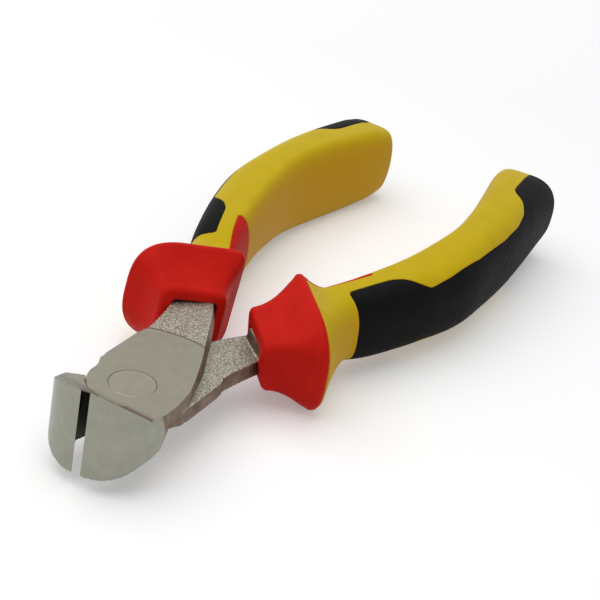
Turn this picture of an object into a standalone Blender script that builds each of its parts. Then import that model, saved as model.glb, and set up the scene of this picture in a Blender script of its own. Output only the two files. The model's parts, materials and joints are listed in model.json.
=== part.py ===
"""End cutting pliers: a lap joint, two forged levers and moulded three-colour handles.

Metres, +Z up. The pivot axis is Z, the jaws point along -X and the handles run along +X.
The origin lies on the pivot axis, on the ground upper face of the joint. Shapes are laid
out about the joint's middle plane, and an empty lowers that plane to its place.
The lower lever and its handle are the upper ones turned half a turn about X.
"""
import math

import bmesh
import bpy
from mathutils import Vector

MM = 0.001
OBJECT_NAME = "end_cutting_pliers"

# Clearance between neighbouring pieces
GAP = 0.3 * MM

# Lap joint: heights from the joint's middle plane, plans in millimetres from the pivot
JOINT_HALF = 2.55 * MM
SHANK_TOP = 2.4 * MM
GROUND_RADIUS = 15.8 * MM
DISC_RADIUS = 6.6 * MM
DISC_START, DISC_END = math.radians(235), math.radians(86)
DISC_STEPS = 22
SHOULDER_EDGE = [(1.3, 6.8), (2.4, 7.35), (3.8, 7.5), (12.6, 7.5), (14.7, 7.1), (19.3, 7.8), (24.1, 8.9),
                 (26.4, 9.5)]
BELLY_EDGE = [(29.9, 4.8), (28.3, 3.9), (24.1, 1.6), (17.6, -1.5), (10.7, -4.7), (5.0, -7.0), (3.0, -7.45),
              (0.4, -7.8), (-2.4, -8.0), (-3.7, -8.2)]

# Jaw: a curved wall whose plan is a superellipse, with ramps above and below as (x, z)
JAW_CENTRE_X = -4.3 * MM
JAW_REACH = 7.65 * MM
JAW_HALF_WIDTH = 8.5 * MM
JAW_POWER = 2.3
JAW_HALF_HEIGHT = 6.9 * MM
JAW_STEPS = 14
JAW_BACK = [(-3.6, -8.3), (-3.2, -6.0)]
EDGE_HALF_GAP = 0.66 * MM
BEVEL_ROOT = (-6.4, -2.55)
RAMP = [(-5.4, 2.55), (-6.3, 2.8), (-12.6, 7.6), (-12.6, 14.0), (6.0, 14.0), (6.0, 2.55)]

# Rivet, ground flush with both faces
RIVET_RADIUS = 2.6 * MM
RIVET_HEAD_RADIUS = 3.5 * MM
RIVET_HEAD_DEPTH = 0.9 * MM
RIVET_STEPS = 40
GROUND_STEPS = 96

# Grip: its stations in millimetres as (x, inner y, outer y, half height), and its section
GRIP_STATIONS = [(41.0, 8.0, 16.8, 5.9), (48.0, 10.1, 19.8, 6.1), (58.0, 12.3, 23.3, 6.5),
                 (68.0, 14.1, 25.7, 7.2), (78.0, 15.3, 26.0, 8.0), (88.0, 14.6, 26.2, 8.4),
                 (98.0, 13.1, 25.8, 8.4), (108.0, 11.3, 25.2, 7.9), (112.0, 10.8, 25.0, 7.2)]
GRIP_POWER = 3.4
GRIP_END_ROUND = 3.2 * MM
GRIP_END_SHARES = (0.5, 0.8, 0.95, 1.0)
SECTION_POINTS = 28
STEPS_PER_STATION = 2

# Guard: a trumpet whose sections stand square to a line through the pivot at GUARD_YAW
GUARD_YAW = math.radians(41.5)
GUARD_FRONT, GUARD_RIM, GUARD_BACK = 23.4 * MM, 31.4 * MM, 32.3 * MM
# Its size as (inner, outer, half height), measured across that line
GUARD_FRONT_SIZE = (-17.3 * MM, -7.9 * MM, 5.6 * MM)
GUARD_RIM_SIZE = (-20.9 * MM, -3.0 * MM, 9.1 * MM)
GUARD_FLARE_POWER = 1.9
GUARD_FLARE_STEPS = 6
GUARD_EDGE_ROUND = 0.4 * MM
GUARD_POWER_INNER, GUARD_POWER_OUTER = 7.0, 2.8

# Flare of the grip behind the guard
FLARE_SETBACK = 0.5 * MM
FLARE_POWER = 2.2
FLARE_SHARES = (0.0, 0.12, 0.3, 0.55, 0.8)

# Tang: a ramp up from the shank, then a bar inside the grip
# Ramp sections in millimetres as (x, y, yaw in degrees, half width, half height, height of its middle)
TANG_RAMP = [(24.3, 5.7, 41.5, 2.8, 0.9, 1.3), (28.0, 7.4, 20.7, 2.8, 2.3, 0.0),
             (33.0, 9.6, 20.7, 2.3, 2.3, 0.0), (38.0, 11.3, 20.7, 1.6, 2.3, 0.0)]
TANG_HALF_WIDTH = 1.5 * MM
TANG_HALF_HEIGHT = 2.3 * MM
TANG_END = 98.0 * MM
# Pocket for the shank in millimetres as (distance along the guard's line, inner, outer)
SHANK_POCKET = [(22.0, -16.3, -8.0), (26.6, -16.8, -9.8)]
SHANK_POCKET_HALF, SHANK_POCKET_LIFT = 1.5 * MM, 1.27 * MM

# Inlay: its plan in millimetres, and the core of the grip left under it
INLAY_PLAN = [(43.4, 13.3), (51.4, 16.4), (53.4, 18.0), (54.6, 20.2), (56.4, 22.1), (62.0, 23.5),
              (71.0, 24.7), (82.0, 25.1), (89.0, 25.0), (93.5, 24.3), (96.5, 22.4), (98.6, 19.9),
              (100.6, 19.0), (106.0, 18.5), (124.0, 17.0), (124.0, 34.0), (24.7, 34.0)]
CORE_HALF_WIDTH, CORE_HALF_HEIGHT = 2.5 * MM, 3.8 * MM
CORE_LEAD = 9.0 * MM

# Tongue of the guard over the grip's inner side: its plan in millimetres, and its depth inside the guard
TONGUE_PLAN = [(36.0, 0.0), (53.2, 8.0), (53.6, 12.3), (53.1, 13.1), (52.0, 13.2), (44.5, 10.7),
               (38.0, 8.4), (30.0, 5.0)]
TONGUE_ROOT = 0.5 * MM

TALL = 20.0 * MM
WELD = 0.001 * MM
TURN_WELD = 0.01 * MM
SHARP_ANGLE = math.radians(35)

# Colour, roughness and metal share of each finish
STEEL_FINISH = ((0.32, 0.31, 0.27), 0.34, 1.0)
RED_FINISH = ((0.58, 0.013, 0.007), 0.42, 0.0)
YELLOW_FINISH = ((0.60, 0.43, 0.006), 0.50, 0.0)
BLACK_FINISH = ((0.008, 0.008, 0.008), 0.60, 0.0)


def clear_scene():
    """Remove what the scene holds."""
    for item in list(bpy.data.objects):
        bpy.data.objects.remove(item, do_unlink=True)


def new_collection(name):
    group = bpy.data.collections.new(name)
    bpy.context.scene.collection.children.link(group)
    return group


def new_material(name, colour, roughness, metallic):
    """A Principled material with one colour."""
    finish = bpy.data.materials.new(name)
    finish.use_nodes = True
    shader = finish.node_tree.nodes["Principled BSDF"]
    shader.inputs["Base Color"].default_value = (*colour, 1.0)
    shader.inputs["Roughness"].default_value = roughness
    shader.inputs["Metallic"].default_value = metallic
    return finish


def metres(points):
    return [tuple(value * MM for value in point) for point in points]


def make_cutter(item):
    """Move an object among the cutters, out of the model."""
    for group in list(item.users_collection):
        group.objects.unlink(item)
    cutters.objects.link(item)
    item.hide_render = True
    item.display_type = "WIRE"
    return item


def mesh_object(name, mesh):
    item = bpy.data.objects.new(name, mesh)
    return make_cutter(item)


def bmesh_object(name, shape):
    """Turn a closed bmesh into an object with its faces out."""
    bmesh.ops.recalc_face_normals(shape, faces=shape.faces)
    mesh = bpy.data.meshes.new(name)
    shape.to_mesh(mesh)
    shape.free()
    return mesh_object(name, mesh)


def baked(item, name):
    """A mesh object holding an object's evaluated shape, with loose caps welded."""
    graph = bpy.context.evaluated_depsgraph_get()
    graph.update()
    mesh = bpy.data.meshes.new_from_object(item.evaluated_get(graph))
    mesh.name = name
    shape = bmesh.new()
    shape.from_mesh(mesh)
    bmesh.ops.remove_doubles(shape, verts=shape.verts, dist=WELD)
    shape.to_mesh(mesh)
    shape.free()
    result = bpy.data.objects.new(name, mesh)
    result.matrix_world = item.matrix_world.copy()
    return make_cutter(result)


def prism(name, outline, low, high):
    """A flat outline in plan, extruded from one height to another."""
    curve = bpy.data.curves.new(name, "CURVE")
    curve.dimensions = "2D"
    curve.fill_mode = "BOTH"
    curve.extrude = (high - low) / 2
    spline = curve.splines.new("POLY")
    spline.points.add(len(outline) - 1)
    for point, (x, y) in zip(spline.points, outline):
        point.co = (x, y, 0.0, 1.0)
    spline.use_cyclic_u = True
    flat = bpy.data.objects.new(name, curve)
    flat.location.z = (high + low) / 2
    cutters.objects.link(flat)
    bpy.context.view_layer.update()
    solid = baked(flat, name)
    bpy.data.objects.remove(flat, do_unlink=True)
    return solid


def loft(name, rings):
    """A closed skin through rings that have the same number of points."""
    shape = bmesh.new()
    loops = []
    for ring in rings:
        points = [shape.verts.new(point) for point in ring]
        loops.append([shape.edges.new((points[i - 1], points[i])) for i in range(len(points))])
    for near, far in zip(loops, loops[1:]):
        bmesh.ops.bridge_loops(shape, edges=near + far)
    bmesh.ops.holes_fill(shape, edges=loops[0] + loops[-1], sides=0)
    return bmesh_object(name, shape)


def turned(name, profile, steps, closed=False):
    """A profile of (radius, height), top to bottom, turned about the pivot axis."""
    mesh = bpy.data.meshes.new(name)
    edges = [(i, i + 1) for i in range(len(profile) - 1)]
    if closed:
        edges.append((len(profile) - 1, 0))
    mesh.from_pydata([(radius, 0, height) for radius, height in profile], edges, [])
    item = mesh_object(name, mesh)
    screw = item.modifiers.new("Turn", "SCREW")
    screw.axis = "Z"
    screw.steps = steps
    screw.render_steps = steps
    screw.use_merge_vertices = True
    screw.merge_threshold = TURN_WELD
    return item


def boolean(item, other, operation):
    cut = item.modifiers.new(operation.title(), "BOOLEAN")
    cut.operation = operation
    cut.solver = "EXACT"
    cut.object = other
    return item


def arc(radius, start, end, steps):
    """Points of an arc about the pivot."""
    angles = [start + (end - start) * i / steps for i in range(steps + 1)]
    return [(radius * math.cos(angle), radius * math.sin(angle)) for angle in angles]


def offset(outline, distance):
    """A closed outline, run with its inside on the left, moved outwards by a distance."""
    moved = []
    for i, (x, y) in enumerate(outline):
        back = Vector((x, y)) - Vector(outline[i - 1])
        ahead = Vector(outline[(i + 1) % len(outline)]) - Vector((x, y))
        normals = [Vector((side.y, -side.x)).normalized() for side in (back, ahead)]
        middle = (normals[0] + normals[1]).normalized()
        moved.append((Vector((x, y)) + middle * distance / middle.dot(normals[0])).to_tuple())
    return moved


def superellipse(half_width, half_height, power_inner, power_outer):
    """A round section as (u, z): u grows outwards from the section's middle."""
    points = []
    for i in range(SECTION_POINTS):
        angle = 2 * math.pi * (i + 0.5) / SECTION_POINTS
        across, up = math.cos(angle), math.sin(angle)
        power = power_outer if across > 0 else power_inner
        u = half_width * math.copysign(abs(across) ** (2 / power), across)
        points.append((u, half_height * math.copysign(abs(up) ** (2 / power), up)))
    return points


def bar(half_width, half_height):
    """A square-edged section as (u, z)."""
    return [(half_width, half_height), (-half_width, half_height), (-half_width, -half_height),
            (half_width, -half_height)]


def stand(section, centre, yaw, lift=0.0):
    """Stand a section at a place in plan, square to a direction."""
    side = heading(yaw + math.pi / 2)
    return [(centre[0] + u * side.x, centre[1] + u * side.y, z + lift) for u, z in section]


def smooth_path(stations, steps):
    """A Catmull-Rom curve through stations, with some steps between each pair."""
    ends = [[2 * a - b for a, b in zip(stations[i], stations[j])] for i, j in ((0, 1), (-1, -2))]
    padded = [Vector(ends[0])] + [Vector(row) for row in stations] + [Vector(ends[1])]
    path = []
    for before, near, far, after in zip(padded, padded[1:], padded[2:], padded[3:]):
        for i in range(steps):
            t = i / steps
            slope = far - before
            bend = 2 * before - 5 * near + 4 * far - after
            twist = 3 * near - before - 3 * far + after
            path.append(0.5 * (2 * near + slope * t + bend * t ** 2 + twist * t ** 3))
    return path + [Vector(stations[-1])]


def grip_stations():
    """Places along the grip as (centre, yaw, half width, half height)."""
    path = smooth_path(metres(GRIP_STATIONS), STEPS_PER_STATION)
    middle = [Vector((row[0], (row[1] + row[2]) / 2)) for row in path]
    stations = []
    for i, centre in enumerate(middle):
        ahead = middle[min(i + 1, len(middle) - 1)] - middle[max(i - 1, 0)]
        yaw = math.atan2(ahead.y, ahead.x)
        stations.append((centre, yaw, (path[i][2] - path[i][1]) / 2 * math.cos(yaw), path[i][3]))
    return stations


def heading(yaw):
    """Direction in plan at an angle from +X."""
    return Vector((math.cos(yaw), math.sin(yaw)))


def guard_point(distance, across):
    """A place in plan from its distance along the guard's line and across it."""
    return heading(GUARD_YAW) * distance + heading(GUARD_YAW + math.pi / 2) * across


def guard_ring(distance, inner, outer, half_height, inset=0.0):
    """A section of the guard, at a distance along the guard's line."""
    half_width = (outer - inner) / 2 - inset
    section = superellipse(half_width, half_height - inset, GUARD_POWER_INNER, GUARD_POWER_OUTER)
    return stand(section, guard_point(distance, (inner + outer) / 2), GUARD_YAW)


def blend_rings(start, end, share):
    """A ring part of the way from one ring to another, which draws in quickly at first."""
    start = [Vector(point) for point in start]
    end = [Vector(point) for point in end]
    start_middle = sum(start, Vector()) / len(start)
    end_middle = sum(end, Vector()) / len(end)
    middle = start_middle.lerp(end_middle, share)
    keep = (1 - share) ** FLARE_POWER
    return [middle + (b - end_middle).lerp(a - start_middle, keep) for a, b in zip(start, end)]


def grip_rings(front):
    """Sections of the grip, from its flare, which starts at front on the guard's line, to its rounded end."""
    stations = grip_stations()
    rings = []
    for centre, yaw, half_width, half_height in stations:
        rings.append(stand(superellipse(half_width, half_height, GRIP_POWER, GRIP_POWER), centre, yaw))
    start = guard_ring(front, *GUARD_RIM_SIZE, FLARE_SETBACK)
    flare = [blend_rings(start, rings[0], share) for share in FLARE_SHARES]
    centre, yaw, half_width, half_height = stations[-1]
    end = []
    for share in GRIP_END_SHARES:
        inset = GRIP_END_ROUND * (1 - math.sqrt(1 - share ** 2))
        section = superellipse(half_width - inset, half_height - inset, GRIP_POWER, GRIP_POWER)
        end.append(stand(section, centre + heading(yaw) * GRIP_END_ROUND * share, yaw))
    return flare + rings + end


def core_rings(shrink=0.0):
    """Sections of the bar of grip that lies under the inlay."""
    section = bar(CORE_HALF_WIDTH - shrink, CORE_HALF_HEIGHT - shrink)
    places = [row[:2] for row in grip_stations()]
    first, first_yaw = places[0]
    last, last_yaw = places[-1]
    lead = (first - heading(first_yaw) * CORE_LEAD, first_yaw)
    tail = (last - heading(last_yaw) * shrink, last_yaw)
    return [stand(section, centre, yaw) for centre, yaw in [lead] + places[:-1] + [tail]]


def make_lap():
    """Upper half of the lap joint, with the flat shank behind it."""
    outline = arc(DISC_RADIUS, DISC_START, DISC_END, DISC_STEPS) + metres(SHOULDER_EDGE) + metres(BELLY_EDGE)
    lap = prism("lap", outline, GAP / 2, JOINT_HALF)
    far, high = 2 * TALL, JOINT_HALF + TALL
    step = [(GROUND_RADIUS, high), (far, high), (far, SHANK_TOP), (GROUND_RADIUS, SHANK_TOP)]
    return boolean(lap, turned("forged_step", step, GROUND_STEPS, closed=True), "DIFFERENCE")


def make_jaw():
    """Jaw of the upper lever, cut by its ramps and round the other lever's disc."""
    start = math.asin((EDGE_HALF_GAP / JAW_HALF_WIDTH) ** (JAW_POWER / 2))
    outline = []
    for i in range(JAW_STEPS + 1):
        angle = start + (math.pi / 2 - start) * i / JAW_STEPS
        reach = JAW_REACH * abs(math.cos(angle)) ** (2 / JAW_POWER)
        outline.append((JAW_CENTRE_X - reach, -JAW_HALF_WIDTH * math.sin(angle) ** (2 / JAW_POWER)))
    jaw = prism("jaw", outline + metres(JAW_BACK) + metres([BEVEL_ROOT]), -JAW_HALF_HEIGHT, JAW_HALF_HEIGHT)
    for name, turn in (("upper_ramp", math.pi / 2), ("lower_ramp", -math.pi / 2)):
        ramp = prism(name, metres(RAMP), -TALL, TALL)
        ramp.rotation_euler.x = turn
        boolean(jaw, ramp, "DIFFERENCE")
    clear = DISC_RADIUS + GAP
    room = [(0, GAP / 2), (clear, GAP / 2), (clear, -TALL), (0, -TALL)]
    return boolean(jaw, turned("disc_room", room, GROUND_STEPS), "DIFFERENCE")


def tang_rings(grow=0.0):
    """Sections of the tang, from the shank to its end inside the grip."""
    rings = []
    for x, y, yaw, half_width, half_height, lift in TANG_RAMP:
        section = bar(half_width * MM + grow, half_height * MM + grow)
        rings.append(stand(section, (x * MM, y * MM), math.radians(yaw), lift * MM))
    section = bar(TANG_HALF_WIDTH + grow, TANG_HALF_HEIGHT + grow)
    inside = [row[:2] for row in grip_stations() if row[0].x <= TANG_END]
    last, yaw = inside[-1]
    inside[-1] = (last + heading(yaw) * grow, yaw)
    return rings + [stand(section, centre, yaw) for centre, yaw in inside]


def make_lever():
    """One forged lever: lap, jaw, shank and tang."""
    lever = make_lap()
    boolean(lever, make_jaw(), "UNION")
    boolean(lever, loft("tang", tang_rings()), "UNION")
    head, neck = RIVET_HEAD_RADIUS + GAP, RIVET_RADIUS + GAP
    body = JOINT_HALF - RIVET_HEAD_DEPTH
    hole = [(0, TALL), (head, TALL), (head, JOINT_HALF), (neck, body), (neck, -TALL), (0, -TALL)]
    return boolean(lever, turned("rivet_hole", hole, RIVET_STEPS), "DIFFERENCE")


def make_rivet():
    """Pivot rivet, spread at both ends and ground flush."""
    body = JOINT_HALF - RIVET_HEAD_DEPTH
    profile = [(0, JOINT_HALF), (RIVET_HEAD_RADIUS, JOINT_HALF), (RIVET_RADIUS, body), (RIVET_RADIUS, -body),
               (RIVET_HEAD_RADIUS, -JOINT_HALF), (0, -JOINT_HALF)]
    return turned("rivet", profile, RIVET_STEPS)


def guard_rings():
    """Sections of the guard, from its front lip to the back of its rim."""
    rings = [guard_ring(GUARD_FRONT, *GUARD_FRONT_SIZE, GUARD_EDGE_ROUND)]
    begin = GUARD_FRONT + GUARD_EDGE_ROUND
    for i in range(GUARD_FLARE_STEPS + 1):
        share = i / GUARD_FLARE_STEPS
        spread = share ** GUARD_FLARE_POWER
        size = [a + (b - a) * spread for a, b in zip(GUARD_FRONT_SIZE, GUARD_RIM_SIZE)]
        rings.append(guard_ring(begin + (GUARD_RIM - begin) * share, *size))
    return rings + [guard_ring(GUARD_BACK, *GUARD_RIM_SIZE, GUARD_EDGE_ROUND)]


def make_sleeve():
    """Red guard with its tongue, hollow for the shank and the tang."""
    sleeve = loft("guard", guard_rings())
    tongue = loft("tongue", grip_rings(GUARD_BACK - TONGUE_ROOT))
    boolean(tongue, prism("tongue_plan", metres(TONGUE_PLAN), -TALL, TALL), "INTERSECT")
    boolean(sleeve, tongue, "UNION")
    pocket = []
    for distance, inner, outer in metres(SHANK_POCKET):
        section = bar((outer - inner) / 2, SHANK_POCKET_HALF)
        centre = guard_point(distance, (outer + inner) / 2)
        pocket.append(stand(section, centre, GUARD_YAW, SHANK_POCKET_LIFT))
    boolean(sleeve, loft("shank_pocket", pocket), "DIFFERENCE")
    return boolean(sleeve, loft("tang_room", tang_rings(GAP)), "DIFFERENCE")


def make_inlay():
    """Black inlay over the grip's outer side."""
    inlay = loft("inlay", grip_rings(GUARD_BACK + GAP))
    boolean(inlay, prism("inlay_plan", metres(INLAY_PLAN), -TALL, TALL), "INTERSECT")
    return boolean(inlay, loft("inlay_core", core_rings()), "DIFFERENCE")


def make_grip():
    """Yellow grip, with room for the inlay, the tongue and the tang."""
    grip = loft("grip", grip_rings(GUARD_BACK + GAP))
    inlay_room = prism("inlay_room", offset(metres(INLAY_PLAN), GAP), -TALL, TALL)
    boolean(inlay_room, loft("grip_core", core_rings(GAP)), "DIFFERENCE")
    boolean(grip, inlay_room, "DIFFERENCE")
    tongue_room = prism("tongue_room", offset(metres(TONGUE_PLAN), GAP), -TALL, TALL)
    boolean(grip, tongue_room, "DIFFERENCE")
    return boolean(grip, loft("tang_room", tang_rings(GAP)), "DIFFERENCE")


def place(shape, name, finish, parent):
    """Put a finished shape among the parts, carried by an empty on the pivot axis."""
    part = bpy.data.objects.new(name, shape)
    if not shape.materials:
        shape.materials.append(finish)
    part.parent = parent
    parts.objects.link(part)


def pivot_empty(name, turn):
    empty = bpy.data.objects.new(name, None)
    empty.location.z = -JOINT_HALF
    empty.rotation_euler.x = turn
    parts.objects.link(empty)
    return empty


def shape_of(item, name):
    """Evaluated mesh of a built piece, shaded smooth except at sharp edges."""
    solid = baked(item, name + "_solid")
    mesh = solid.data
    mesh.name = name
    mesh.transform(solid.matrix_world)
    bpy.data.objects.remove(solid, do_unlink=True)
    mesh.shade_smooth()
    mesh.set_sharp_from_angle(angle=SHARP_ANGLE)
    return mesh


def build():
    steel = new_material("satin_steel", *STEEL_FINISH)
    red = new_material("red_sleeve", *RED_FINISH)
    yellow = new_material("yellow_grip", *YELLOW_FINISH)
    black = new_material("black_inlay", *BLACK_FINISH)
    upper = pivot_empty("upper_pivot", 0.0)
    lower = pivot_empty("lower_pivot", math.pi)
    place(shape_of(make_rivet(), "pivot_rivet"), "pivot_rivet", steel, upper)
    pairs = [(make_lever(), "upper_lever", "lower_lever", steel),
             (make_sleeve(), "left_guard_sleeve", "right_guard_sleeve", red),
             (make_grip(), "left_grip", "right_grip", yellow),
             (make_inlay(), "left_inlay", "right_inlay", black)]
    for item, upper_name, lower_name, finish in pairs:
        shape = shape_of(item, upper_name)
        place(shape, upper_name, finish, upper)
        place(shape, lower_name, finish, lower)
        print(upper_name, lower_name, len(shape.vertices), "points", len(shape.polygons), "faces")


clear_scene()
parts = new_collection(OBJECT_NAME)
cutters = new_collection("cutters")
build()
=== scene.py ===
# %% [markdown]
# # End cutting pliers
#
# This lesson dresses a pair of end cutting pliers in Blender. The working parts already exist as plain
# solids: two steel levers on a rivet, and for each handle a red guard, a yellow grip and a black inlay. We
# load them as a fixed frame, and then build finer pieces in their places.

# %% Load the frame
import json
import math

import bpy
import numpy as np
from mathutils import Matrix, Vector


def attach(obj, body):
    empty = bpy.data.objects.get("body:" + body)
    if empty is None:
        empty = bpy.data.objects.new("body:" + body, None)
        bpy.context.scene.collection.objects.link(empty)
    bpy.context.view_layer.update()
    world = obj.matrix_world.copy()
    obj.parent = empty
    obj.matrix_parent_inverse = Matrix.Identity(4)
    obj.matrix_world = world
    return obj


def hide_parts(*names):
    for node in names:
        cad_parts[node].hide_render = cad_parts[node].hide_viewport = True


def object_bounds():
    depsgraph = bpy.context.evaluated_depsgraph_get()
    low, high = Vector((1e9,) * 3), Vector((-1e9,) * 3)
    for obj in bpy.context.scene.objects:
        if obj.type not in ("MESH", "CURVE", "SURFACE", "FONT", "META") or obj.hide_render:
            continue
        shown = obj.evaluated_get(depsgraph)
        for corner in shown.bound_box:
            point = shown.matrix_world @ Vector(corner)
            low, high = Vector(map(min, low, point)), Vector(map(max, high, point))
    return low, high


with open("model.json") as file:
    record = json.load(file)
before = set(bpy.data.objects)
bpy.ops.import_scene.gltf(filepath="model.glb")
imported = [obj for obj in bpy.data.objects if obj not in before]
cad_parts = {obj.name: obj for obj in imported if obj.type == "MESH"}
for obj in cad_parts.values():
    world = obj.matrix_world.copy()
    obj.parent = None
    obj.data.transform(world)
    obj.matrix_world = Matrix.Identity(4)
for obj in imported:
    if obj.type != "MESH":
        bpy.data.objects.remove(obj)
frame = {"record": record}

cad_box = [list(corner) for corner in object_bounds()]
print("box of the solids:", [round(v, 4) for corner in cad_box for v in corner])

# %% [markdown]
# ## Units and the middle plane
#
# Sizes are written in millimetres, and one factor makes them metres. Half a turn about its long axis maps the
# tool onto itself, so we model only the upper lever and the left handle, about the plane half way between the
# joint's two ground faces.

# %% Units and the middle plane
MM = 0.001
mounts = {mount["name"]: mount for mount in frame["record"]["mounts"]}
MIDDLE_Z = (mounts["joint_face_top"]["pos_m"][2] + mounts["joint_face_bottom"]["pos_m"][2]) / 2
MIDDLE = Vector((0, 0, MIDDLE_Z))
print("middle plane at", round(MIDDLE_Z / MM, 3), "mm")

# %% [markdown]
# ## Camera
#
# The photograph was taken from in front of the jaws and above them, from close by, with the camera rolled a
# little. The angles below were fitted to outlines of the tool. A new camera looks straight down, so we turn
# it about Z, tilt it up, and roll it.

# %% Camera
AZIMUTH, ELEVATION, ROLL = np.radians([-66.892, 28.137, 11.597])
CAMERA_PLACE = Vector((-145.59, -84.82, 107.92)) * MM
FOCAL_PIXELS, IMAGE_PIXELS, CLIP_START = 1399.7, 600, 0.01

bpy.ops.object.camera_add()
camera = bpy.context.object
camera.name = "photo_camera"
camera.matrix_world = Matrix.Translation(CAMERA_PLACE)
for angle, axis in ((AZIMUTH, "Z"), (math.pi / 2 - ELEVATION, "X"), (ROLL, "Z")):
    camera.matrix_world = camera.matrix_world @ Matrix.Rotation(angle, 4, axis)
camera.data.lens = camera.data.sensor_width * FOCAL_PIXELS / IMAGE_PIXELS
camera.data.clip_start = CLIP_START
bpy.context.scene.camera = camera
print("lens", round(camera.data.lens, 1), "mm")

# %% [markdown]
# ## Floor and light
#
# A product photograph is lit by big soft boxes over a white table. A world light gives the even part, and one
# large lamp above gives a direction. The floor is a white diffuse sheet that keeps the soft shadow, with a
# little light of its own that only the camera and mirror-like surfaces see. It grows far from the tool, so
# the table runs into the white behind it.

# %% Helpers for node trees
def feed(tree, socket, value):
    """Link a socket to another, or set it to a value."""
    if isinstance(value, bpy.types.NodeSocket):
        tree.links.new(value, socket)
    else:
        socket.default_value = value

def add_node(tree, kind, settings=None, **inputs):
    """Add a shader node with its settings and inputs."""
    made = tree.nodes.new("ShaderNode" + kind)
    for name, value in (settings or {}).items():
        setattr(made, name, value)
    for name, value in inputs.items():
        feed(tree, made.inputs[name.replace("_", " ")], value)
    return made

def calc(tree, operation, *values):
    """A Math node's result for values or sockets."""
    made = add_node(tree, "Math", {"operation": operation})
    for socket, value in zip(made.inputs, values):
        feed(tree, socket, value)
    return made.outputs[0]

def seen_directly(tree):
    """1 for rays from the camera and from mirror-like or clear surfaces, else 0."""
    path = add_node(tree, "LightPath")
    glossy = calc(tree, "MAXIMUM", path.outputs["Is Camera Ray"], path.outputs["Is Glossy Ray"])
    return calc(tree, "MAXIMUM", glossy, path.outputs["Is Transmission Ray"])

# %% Floor, world and lamp
FLOOR_SIZE, FLOOR_COLOUR, FLOOR_GLOW = 4.0, 0.86, 0.27
FAR_FROM, FAR_TO, FAR_GLOW = 0.2, 1.0, 0.75
WORLD_LIGHT, WORLD_SEEN = 0.38, 1.0
LAMP_SIZE, LAMP_POWER, LAMP_PLACE = 0.7, 2.3, Vector((-0.06, 0.12, 0.5))

bpy.ops.object.select_all(action="DESELECT")
bpy.ops.mesh.primitive_plane_add(size=FLOOR_SIZE, location=(0, 0, cad_box[0][2]))
floor = bpy.context.object
floor.name = "floor"
paper = bpy.data.materials.new("white_table")
paper.use_nodes = True
tree = paper.node_tree
tree.nodes.clear()
floor_place = add_node(tree, "TexCoord").outputs["Object"]
reach = add_node(tree, "VectorMath", {"operation": "LENGTH"}, Vector=floor_place)
far = add_node(tree, "MapRange", Value=reach.outputs["Value"], From_Min=FAR_FROM, From_Max=FAR_TO,
               To_Min=FLOOR_GLOW, To_Max=FAR_GLOW)
glow = add_node(tree, "Emission", Strength=calc(tree, "MULTIPLY", seen_directly(tree), far.outputs[0]))
sheet = add_node(tree, "BsdfDiffuse", Color=(*[FLOOR_COLOUR] * 3, 1))
both = add_node(tree, "AddShader")
tree.links.new(sheet.outputs[0], both.inputs[0])
tree.links.new(glow.outputs[0], both.inputs[1])
add_node(tree, "OutputMaterial", Surface=both.outputs[0])
floor.data.materials.append(paper)

world = bpy.data.worlds.new("white_studio")
bpy.context.scene.world = world
world.use_nodes = True
tree = world.node_tree
extra = calc(tree, "MULTIPLY", seen_directly(tree), WORLD_SEEN - WORLD_LIGHT)
strength = calc(tree, "ADD", extra, WORLD_LIGHT)
background = tree.nodes["Background"]
background.inputs["Color"].default_value = (1, 1, 1, 1)
tree.links.new(strength, background.inputs["Strength"])

bpy.ops.object.light_add(type="AREA", location=LAMP_PLACE)
lamp = bpy.context.object
lamp.name = "soft_box"
lamp.data.size = LAMP_SIZE
lamp.data.energy = LAMP_POWER
lamp.rotation_euler = LAMP_PLACE.to_track_quat("Z", "Y").to_euler()
bpy.context.scene.view_settings.view_transform = "Standard"
print("floor at", round(cad_box[0][2] / MM, 2), "mm, lamp", LAMP_POWER, "W")

# %% [markdown]
# ## Skin of the handle
#
# On the real handle the red tongue, the yellow grip and the black inlay are moulded flush, in one smooth
# skin. We work that skin out first, as rings: rounded squares that stand square to the handle's line. They
# draw in quickly behind the guard's rim, and shrink along a quarter circle at the end.

# %% Values of the handle
GRIP_STATIONS = [(41.0, 7.6, 16.8, 6.0), (48.0, 9.8, 19.8, 6.4), (58.0, 12.5, 23.4, 6.8),
                 (68.0, 14.5, 25.8, 7.4), (78.0, 15.6, 26.1, 8.0), (88.0, 15.0, 26.2, 8.4),
                 (98.0, 13.5, 25.8, 8.4), (108.0, 11.7, 25.2, 7.9), (112.0, 11.2, 25.0, 7.2)]
GRIP_POWERS, GRIP_DRAFT, GRIP_END_ROUND = (6.0, 2.6), 0.16, 3.2
GUARD_YAW = math.radians(40.5)
GUARD_FRONT, GUARD_RIM, GUARD_BACK, RIM_BAND = 23.15, 30.95, 32.3, 0.3
GUARD_FRONT_SIZE, GUARD_RIM_SIZE = (-17.5, -6.1, 4.75, 0.4, -0.57), (-20.93, -2.17, 8.65, 0.69, 0.23)
FRONT_POWERS, RIM_POWERS = (5.0, 8.2), (8.7, 2.95)
FLARE_SETBACK, FLARE_CROWDING = 0.4, 1.3
FLARE_SHARES, FLARE_POWERS = [0, 0.5, 0.8, 1], [2.2, 2.2, 1.2, 1.2]
ROWS_PER_STATION, FLARE_ROWS, END_ROWS, STEPS_ROUND = 16, 48, 24, 240
ANGLES = np.linspace(0, math.pi, 1201)

def heading(yaw):
    """Direction in plan at an angle from +X."""
    return np.array([math.cos(yaw), math.sin(yaw)])

def plan_place(yaw, along, across):
    """A place in plan, from its distances along a line through the pivot and across it."""
    return heading(yaw) * along + heading(yaw + math.pi / 2) * across

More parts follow.
